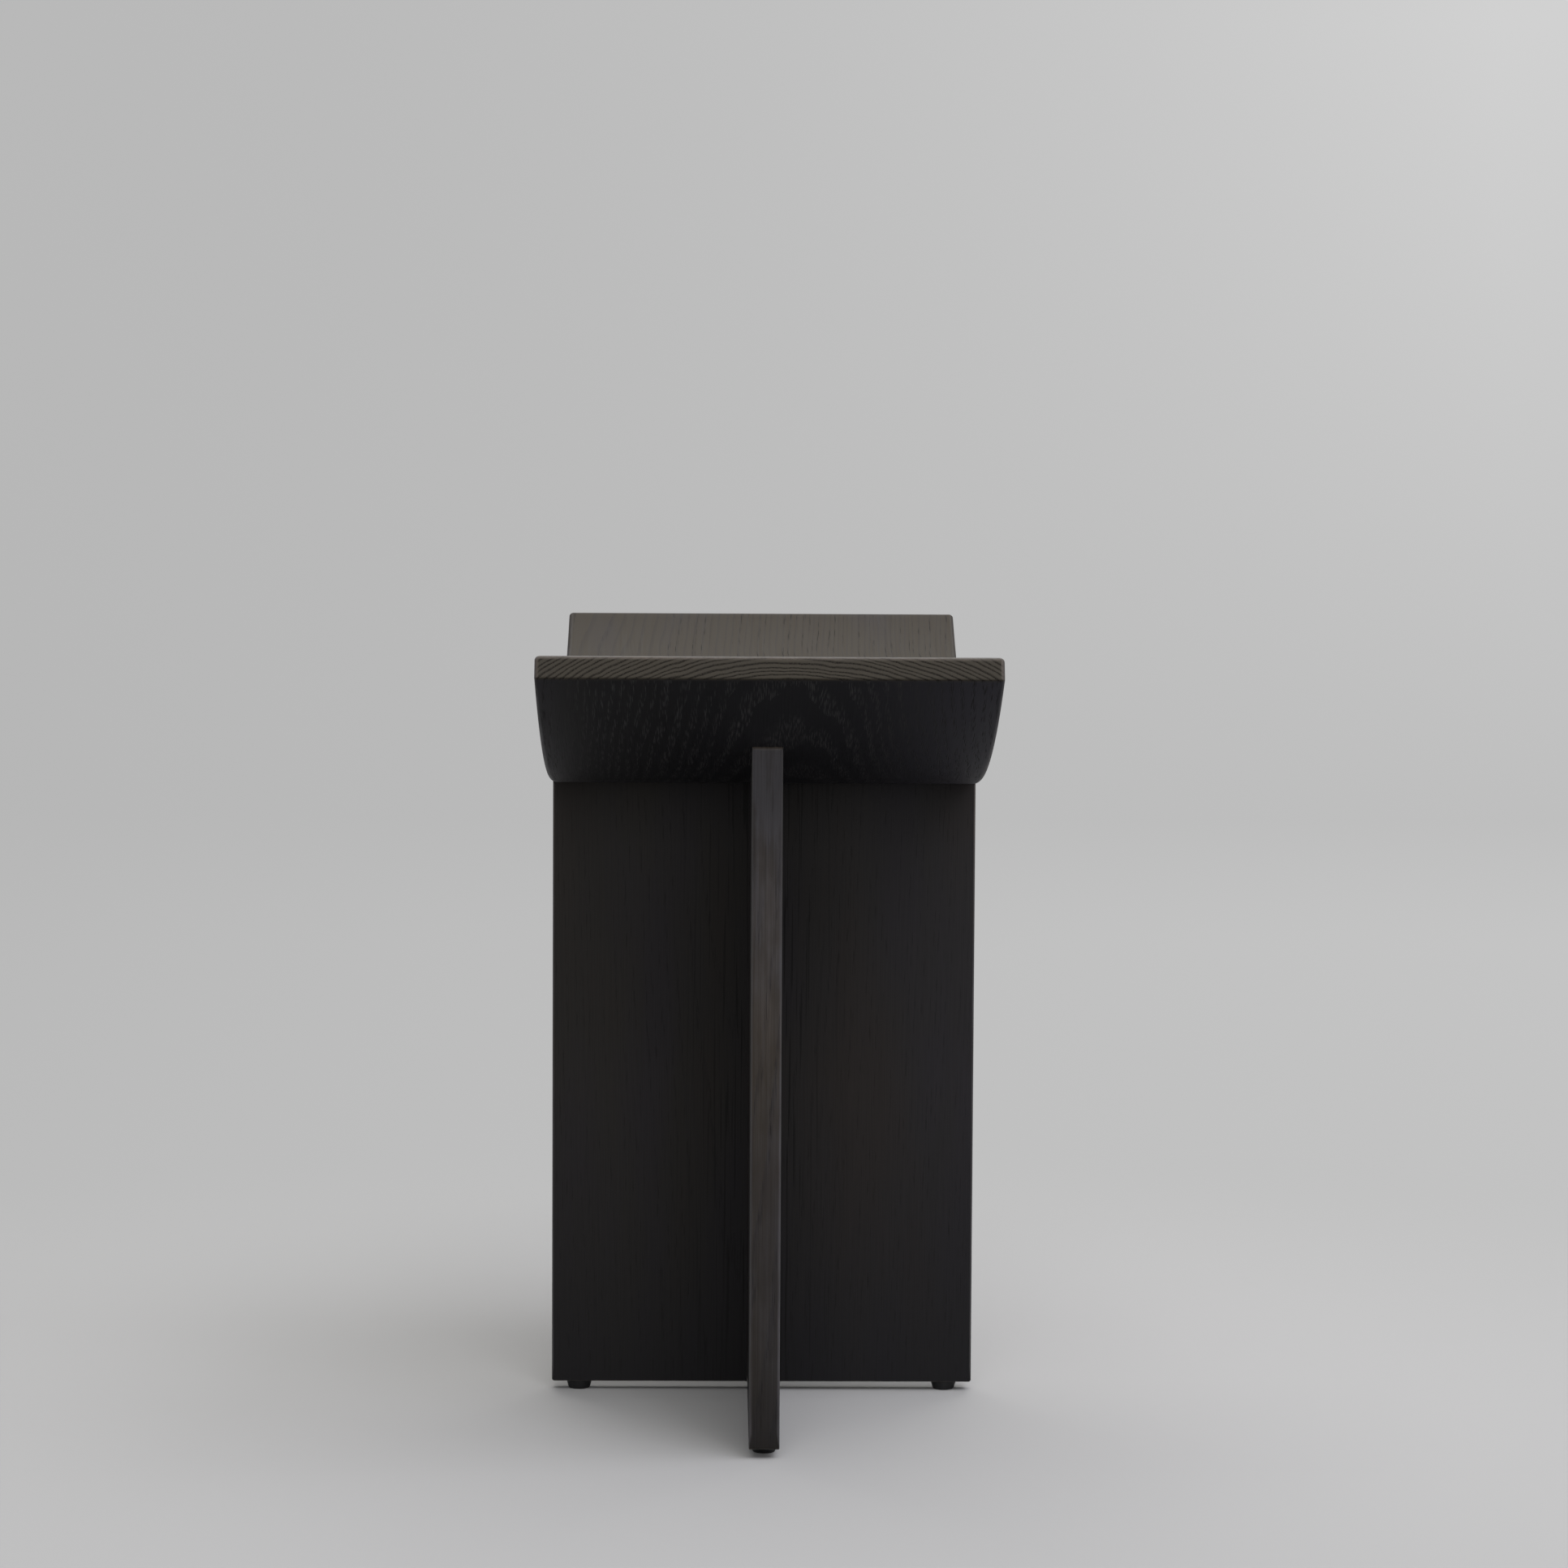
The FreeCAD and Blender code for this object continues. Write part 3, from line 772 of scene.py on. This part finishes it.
# %% Oak material
def stained_oak():
    """Open-pored oak, stained black-brown and oiled matt: dark pores, soft sheen, paler worn arrises that
    also carry painted highlights.

    Painted shade darkens the panels towards their foot and the middle of the underside. The underside and the
    panels' faces also get a darker, cooler copy of the colour as painted shade, which turns from brown to
    violet across the stool.
    """
    material, tree = new_material("oak_stained_black_brown")
    grain = add(tree, "Attribute", out="Vector", attribute_name="grain")
    mm = add(tree, "VectorMath", {0: grain, "Scale": 1 / MM}, operation="SCALE")
    arris, end_grain, dust, figure, stain = (
        add(tree, "Attribute", out="Fac", attribute_name=mark)
        for mark in ("arris", "end_grain", "dust", "figure", "stain"))
    along = add(tree, "SeparateXYZ", [mm], out="Z")
    # Painted shade on the panels is darkest at the foot and fades out at the lap.
    shade_low_down = add(tree, "MapRange", [along, *PAINTED_SHADE_LOW_DOWN])
    stain = add(tree, "Math", [stain, shade_low_down], operation="MULTIPLY")
    # Pores given painted glints lie where the underside carries painted shade.
    dusty = add(tree, "Math", [dust, stain], operation="MULTIPLY")
    panel_face = add(tree, "MapRange", [figure, *PANEL_FACE])
    fibre = wood_cloud(tree, mm, FIBRE_MM, 2.0)
    strayed, season, chance = oak_rings(tree, mm)
    early = add(tree, "MapRange", [season, *EARLY_SEASON])
    pore = oak_pores(tree, strayed, season, chance, end_grain, dust)
    early, pore = (add(tree, "Math", [part, figure], operation="MULTIPLY") for part in (early, pore))
    wood = oak_colour(tree, mm, pore, early, fibre, (arris, end_grain, dust, panel_face, stain, dusty))

    # Pores given painted glints lose their dip in the relief and keep the face's sheen.
    painted_glint = add(tree, "Math", [pore, dusty], operation="MULTIPLY")
    open_pore = add(tree, "Math", [pore, painted_glint], operation="SUBTRACT")
    fuzz = add(tree, "Math", [fibre, FIBRE_RELIEF], operation="MULTIPLY")
    relief = add(tree, "Math", [fuzz, open_pore], operation="SUBTRACT")
    bump = add(tree, "Bump", {"Height": relief, "Strength": 1.0, "Distance": PORE_DEPTH})
    rough = add(tree, "MapRange", [fibre, *FIBRE_ROUGHNESS])
    sheen = oak_sheen(tree, open_pore, arris, end_grain, panel_face)
    surface = add(tree, "BsdfPrincipled", {"Base Color": wood, "Roughness": rough, "IOR": OIL_IOR,
                                           "Specular IOR Level": sheen, "Normal": bump})
    add(tree, "OutputMaterial", {"Surface": surface})
    return material


oak = stained_oak()
for board in (seat, cross_panel, long_panel):
    board.data.materials.append(oak)
print("oak has", len(oak.node_tree.nodes), "nodes")

# %% [markdown]
# ## Black nylon, zinc plate and beech
#
# The glides are injection moulded and have a fine spark-eroded grain that scatters light. The screws are
# zinc plated steel, bright but slightly cloudy. The dowels inside the joints are bare turned beech with
# short brown flecks. They never show, but a part that comes apart has them.

# %% Nylon
# A real eroded grain is about 0.1 mm, so it is drawn coarser to show.
NYLON_GRAIN = 0.35 * MM
NYLON_RELIEF = 0.04 * MM
NYLON_SCUFF = 4 * MM
NYLON_IOR = 1.53


def moulded_nylon():
    """Black nylon from a spark-eroded mould: a fine grain with a soft highlight, scuffed a little paler."""
    material, tree = new_material("nylon_moulded_black")
    spot = add(tree, "TexCoord", out="Object")
    grit = add(tree, "TexNoise", {"Vector": spot, "Scale": 1 / NYLON_GRAIN, "Detail": 2.0})
    scuff = add(tree, "TexNoise", {"Vector": spot, "Scale": 1 / NYLON_SCUFF, "Detail": 3.0})
    worn = add(tree, "MapRange", [scuff, 0.5, 0.8, 0.0, 0.5])
    colour = add(tree, "Mix", {0: worn, 6: linear("#101011"), 7: linear("#1E1E1F")}, **COLOUR_MIX)
    rough = add(tree, "MapRange", [scuff, 0.0, 1.0, 0.4, 0.62])
    bump = add(tree, "Bump", {"Height": grit, "Strength": 0.5, "Distance": NYLON_RELIEF})
    surface = add(tree, "BsdfPrincipled", {"Base Color": colour, "Roughness": rough, "IOR": NYLON_IOR,
                                           "Specular IOR Level": 0.3, "Normal": bump})
    add(tree, "OutputMaterial", {"Surface": surface})
    return material


nylon = moulded_nylon()
for glide in glides:
    glide.data.materials.append(nylon)
print(nylon.name, "on", len(glides), "glides")

# %% Zinc plate
ZINC_CLOUD = 1.2 * MM
ZINC_RELIEF = 0.02 * MM


def zinc_plate():
    """Zinc plated steel: bright grey metal with a cloudy passivated skin and a little blue in it."""
    material, tree = new_material("steel_zinc_plated")
    spot = add(tree, "TexCoord", out="Object")
    cloud = add(tree, "TexNoise", {"Vector": spot, "Scale": 1 / ZINC_CLOUD, "Detail": 3.0})
    colour = add(tree, "Mix", {0: cloud, 6: linear("#B9BEC4"), 7: linear("#D2D2CC")}, **COLOUR_MIX)
    rough = add(tree, "MapRange", [cloud, 0.0, 1.0, 0.25, 0.42])
    bump = add(tree, "Bump", {"Height": cloud, "Strength": 0.3, "Distance": ZINC_RELIEF})
    surface = add(
        tree, "BsdfPrincipled", {"Base Color": colour, "Metallic": 1.0, "Roughness": rough, "Normal": bump})
    add(tree, "OutputMaterial", {"Surface": surface})
    return material


zinc = zinc_plate()
screws.data.materials.append(zinc)
print(zinc.name, "on the screws")

# %% Beech
FLECK_WIDTH = 0.5 * MM
FLECK_LENGTH = 2.5 * MM
FLECK_RELIEF = 0.05 * MM
BEECH_IOR = 1.5


def turned_beech():
    """Bare beech: pale pinkish tan with short brown ray flecks along the grain."""
    material, tree = new_material("beech_turned")
    spot = add(tree, "TexCoord", out="Object")
    flecks = (1 / FLECK_WIDTH, 1 / FLECK_WIDTH, 1 / FLECK_LENGTH)
    stretched = add(tree, "Mapping", {"Vector": spot, "Scale": flecks})
    fleck = add(tree, "TexVoronoi", {"Vector": stretched, "Scale": 1.0})
    shade = add(tree, "MapRange", [fleck, 0.15, 0.4, 0.7, 0.0])
    colour = add(tree, "Mix", {0: shade, 6: linear("#D6B48C"), 7: linear("#B08A62")}, **COLOUR_MIX)
    bump = add(tree, "Bump", {"Height": fleck, "Strength": 0.4, "Distance": FLECK_RELIEF})
    surface = add(
        tree, "BsdfPrincipled", {"Base Color": colour, "Roughness": 0.6, "IOR": BEECH_IOR, "Normal": bump})
    add(tree, "OutputMaterial", {"Surface": surface})
    return material


beech = turned_beech()
for node in ("cross_panel_dowels", "long_panel_dowels"):
    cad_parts[node].data.materials.clear()
    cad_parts[node].data.materials.append(beech)
print(beech.name, "on the dowels")

# %% [markdown]
# ## Floor, backdrop and light
#
# The stool stands on a roll of pale grey paper that sweeps up behind it. One profile carried sideways makes
# the floor, the cove and the wall. Six softboxes light it. The one at the back brightens the seat's raised
# ends, the two on the right throw the shadow to the left, and the two in front lift the dark panels. A broad
# one overhead softens them all. Close to the stool the paper shows this light and the shadow. Further away it
# shows a set tone with painted light, brighter towards the right and most in the upper right, so that a pale
# backdrop needs no more light on the wood.

# %% Paper sweep
# Sizes of the studio are in metres.
FLOOR_FRONT = -6.0
WALL_PLACE = 3.6
COVE_RADIUS = 1.1
COVE_STEPS = 24
WALL_TOP = 5.0
PAPER_HALF_WIDTH = 6.0

cove = np.linspace(0, math.pi / 2, COVE_STEPS)
cove_y = WALL_PLACE - COVE_RADIUS + COVE_RADIUS * np.sin(cove)
cove_z = COVE_RADIUS - COVE_RADIUS * np.cos(cove)
profile = np.stack([np.r_[FLOOR_FRONT, cove_y, WALL_PLACE], np.r_[0, cove_z, WALL_TOP]], axis=1)
sides = np.array([-PAPER_HALF_WIDTH, PAPER_HALF_WIDTH])
paper_points = np.stack(np.broadcast_arrays(sides, profile[:, :1], profile[:, 1:]), axis=-1)
rows = np.arange(len(profile) - 1)[:, None]
paper_faces = rows * 2 + np.array([0, 1, 3, 2])
paper_mesh = bpy.data.meshes.new("paper_sweep")
paper_mesh.from_pydata(paper_points.reshape(-1, 3).tolist(), [], paper_faces.tolist())
paper_mesh.shade_smooth()
paper = bpy.data.objects.new("paper_sweep", paper_mesh)
bpy.context.scene.collection.objects.link(paper)
print("paper has", len(paper_mesh.polygons), "strips")


# %% What the eye sees
def seen_directly(tree):
    """1 for light that reaches the camera straight, in a reflection or through glass, and otherwise 0."""
    rays = add(tree, "LightPath").node.outputs
    seen = rays["Is Camera Ray"]
    for ray in ("Is Glossy Ray", "Is Transmission Ray"):
        seen = add(tree, "Math", [seen, rays[ray]], operation="MAXIMUM")
    return seen


# %% Paper material
# Each pair of numbers is a stretch in metres: away from the stool's middle, across, up or towards the wall.
EVEN_FROM, EVEN_TO = 0.12, 1.0
TONES_ACROSS = (-1.0, 1.0)
FOOT_OF_WALL = (0.0, 0.1)
UP_THE_WALL = (0.1, 1.1)
PALE_BEHIND = (-0.02, 0.12)
PAPER, DULL_PAPER = "#BEBEBE", "#525256"
# The tones brighten towards the right, most at the upper right: painted light.
GROUND_TONES = ("#B8B8B8", "#C5C5C5")
LOW_TONES = ("#B6B6B6", "#BFBFBF")
HIGH_TONES = ("#B9B9B9", "#D1D1D1")


def grey_paper():
    """Matt seamless paper. It looks pale to the eye, and throws back less light than it shows.

    Far from the stool, where no shadow reaches, the eye is shown a set tone of the paper, with painted light
    that brightens it towards the right, most in the upper right.
    """
    material, tree = new_material("paper_matt_grey")
    spot = add(tree, "TexCoord", out="Object")
    away = add(tree, "VectorMath", [spot], out="Value", operation="LENGTH")
    far = add(tree, "MapRange", [away, EVEN_FROM, EVEN_TO], interpolation_type="SMOOTHSTEP")
    aside, behind, up = add(tree, "SeparateXYZ", [spot]).node.outputs
    spans = [(aside, TONES_ACROSS), (up, FOOT_OF_WALL), (up, UP_THE_WALL), (behind, PALE_BEHIND)]
    across, foot, height, pale = (add(tree, "MapRange", [way, *span]) for way, span in spans)
    corner = add(tree, "Math", [across, 2.0], operation="POWER")
    ground, low, high = (
        add(tree, "Mix", {0: share, 6: linear(left), 7: linear(right)}, **COLOUR_MIX)
        for share, (left, right) in ((across, GROUND_TONES), (across, LOW_TONES), (corner, HIGH_TONES)))
    low = add(tree, "Mix", {0: foot, 6: ground, 7: low}, **COLOUR_MIX)
    tone = add(tree, "Mix", {0: height, 6: low, 7: high}, **COLOUR_MIX)
    lit = add(tree, "BsdfDiffuse", {"Color": linear(PAPER)})
    even = add(tree, "Emission", {"Color": tone})
    shown = add(tree, "MixShader", [far, lit, even])
    bounce = add(tree, "Mix", {0: pale, 6: linear(DULL_PAPER), 7: linear(PAPER)}, **COLOUR_MIX)
    dull = add(tree, "BsdfDiffuse", {"Color": bounce})
    surface = add(tree, "MixShader", [seen_directly(tree), dull, shown])
    add(tree, "OutputMaterial", {"Surface": surface})
    return material


paper_mesh.materials.append(grey_paper())
print("paper's own tone from", EVEN_FROM, "to", EVEN_TO, "m away")

# %% Softboxes
LAMPS_AIM = Vector((0.0, 0.0, 0.3))
WARM, PLAIN, COOL = "#FFFDF8", "#FFFEFC", "#F8F8FF"


def softbox(name, stand, size, watts, colour):
    """A rectangular lamp that stands at one point and looks at the stool."""
    lamp = bpy.data.lights.new(name, "AREA")
    lamp.shape = "RECTANGLE"
    lamp.size, lamp.size_y = size
    lamp.energy = watts
    lamp.color = linear(colour)[:3]
    holder = bpy.data.objects.new(name, lamp)
    holder.location = stand
    holder.rotation_euler = (LAMPS_AIM - Vector(stand)).to_track_quat("-Z", "Y").to_euler()
    bpy.context.scene.collection.objects.link(holder)
    print(name, watts, "W")


softbox("back_softbox", (0.0, 3.2, 3.6), (5.0, 1.6), 121, WARM)
softbox("overhead_softbox", (0.0, 0.0, 4.5), (6.0, 6.0), 38, PLAIN)
softbox("right_softbox", (3.2, -0.5, 4.1), (3.0, 3.0), 59, COOL)
softbox("front_right_softbox", (2.2, -3.1, 3.8), (2.5, 2.5), 65, COOL)
softbox("high_front_softbox", (0.0, -3.6, 4.2), (3.0, 2.0), 74, PLAIN)
softbox("low_front_fill", (0.3, -5.0, 1.2), (3.0, 2.0), 74, PLAIN)

# %% Air beyond the paper
AIR_TONE = "#BABABA"
AIR_LIGHT = 0.17

world = bpy.data.worlds.new("studio_air")
world.use_nodes = True
air = world.node_tree
air.nodes.clear()
dim = add(air, "Background", {"Color": linear(COOL), "Strength": AIR_LIGHT})
hazy = add(air, "Background", {"Color": linear(AIR_TONE)})
around = add(air, "MixShader", [seen_directly(air), dim, hazy])
add(air, "OutputWorld", {"Surface": around})
bpy.context.scene.world = world
print("air lights the stool at", AIR_LIGHT)

# %% [markdown]
# ## The camera
#
# The photograph was taken nearly level, from one end, with a long lens. Fitting the measured edges of the
# lip, panels and feet gave the stand of the camera, a small turn about the upright and a slight roll.

# %% Camera
PHOTO_SIDE_PX = 1932
FOCAL_PX = 6000
SENSOR = 36
CAMERA_STAND = (11.6 * MM, -2866.6 * MM, 573.2 * MM)
CAMERA_TURN = math.radians(-0.73)
CAMERA_PITCH = math.radians(4.24)
CAMERA_ROLL = math.radians(0.31)

turn = Matrix.Rotation(CAMERA_TURN, 3, "Z")
forward = turn @ Vector((0, math.cos(CAMERA_PITCH), -math.sin(CAMERA_PITCH)))
level_right = turn @ Vector((1, 0, 0))
level_up = level_right.cross(forward)
right = math.cos(CAMERA_ROLL) * level_right + math.sin(CAMERA_ROLL) * level_up
up = right.cross(forward)
lens = bpy.data.cameras.new("end_view")
lens.sensor_fit = "HORIZONTAL"
lens.sensor_width = SENSOR
lens.lens = FOCAL_PX * SENSOR / PHOTO_SIDE_PX
camera = bpy.data.objects.new("end_view", lens)
camera.matrix_world = Matrix.LocRotScale(
    turn @ Vector(CAMERA_STAND), Matrix((right, up, -forward)).transposed(), None)
bpy.context.scene.collection.objects.link(camera)
bpy.context.scene.camera = camera
bpy.context.scene.view_settings.view_transform = "Standard"
print("lens", round(lens.lens, 1), "mm")
